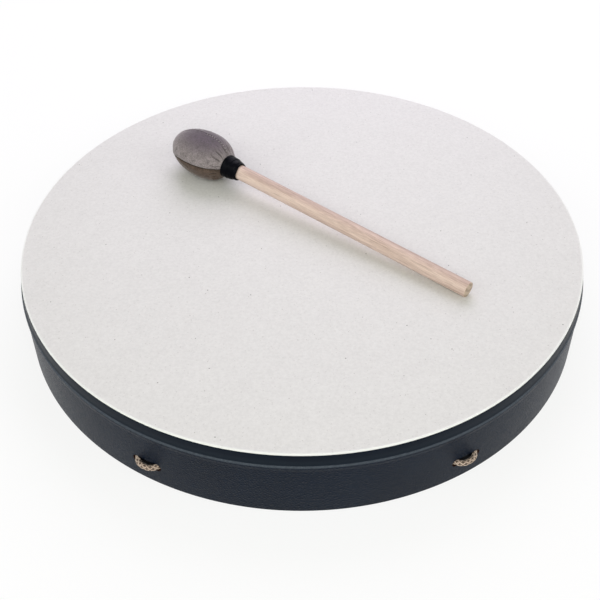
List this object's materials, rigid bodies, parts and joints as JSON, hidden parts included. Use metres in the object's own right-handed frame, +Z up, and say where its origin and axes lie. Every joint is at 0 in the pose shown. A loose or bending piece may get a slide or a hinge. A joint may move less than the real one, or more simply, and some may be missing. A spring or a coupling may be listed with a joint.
{
  "type": "buffalo drum",
  "caption": "Wide shallow frame drum with a fixed film head, a rope grip laced through its covered wall, and a padded mallet that lies on the head.",
  "frame": {"origin": "centre of the rim's lower face, on the surface the drum stands on", "axes": "+Z up through the head, -Y towards the front as pictured, +X to the right seen from the front"},
  "size_m": [0.5606, 0.5606, 0.1245],
  "materials": {
    "shell_fibre": "raw pressed wood fibre",
    "wrap_vinyl": "fine leather-grain texture, dark slate",
    "head_film": "off-white fibre film, faint flecks",
    "band_strip": "smooth black strip",
    "rope_cotton": "braided tan cord with dark flecks",
    "handle_wood": "pale satin hardwood",
    "core_felt": "firm felt",
    "suede_light": "grey suede",
    "suede_dark": "brown-grey suede",
    "thread": "waxed thread",
    "tape": "black tape, slight sheen"
  },
  "bodies": {
    "drum": {"shell_ring": "shell_fibre", "shell_wrap": "wrap_vinyl", "drum_head": "head_film", "collar_band": "band_strip", "rope_front_left": "rope_cotton", "rope_front_right": "rope_cotton", "rope_back_left": "rope_cotton", "rope_back_right": "rope_cotton", "grip_winding": "rope_cotton"},
    "mallet": {"mallet_handle": "handle_wood", "mallet_core": "core_felt", "mallet_cover_upper": "suede_light", "mallet_cover_lower": "suede_dark", "neck_thread": "thread", "neck_tape": "tape"}
  },
  "joints": [
    {"name": "mallet_lift", "type": "slide", "parent": "drum", "child": "mallet", "axis": [0, 0, 1], "range_m": [0, 0.2]}
  ]
}
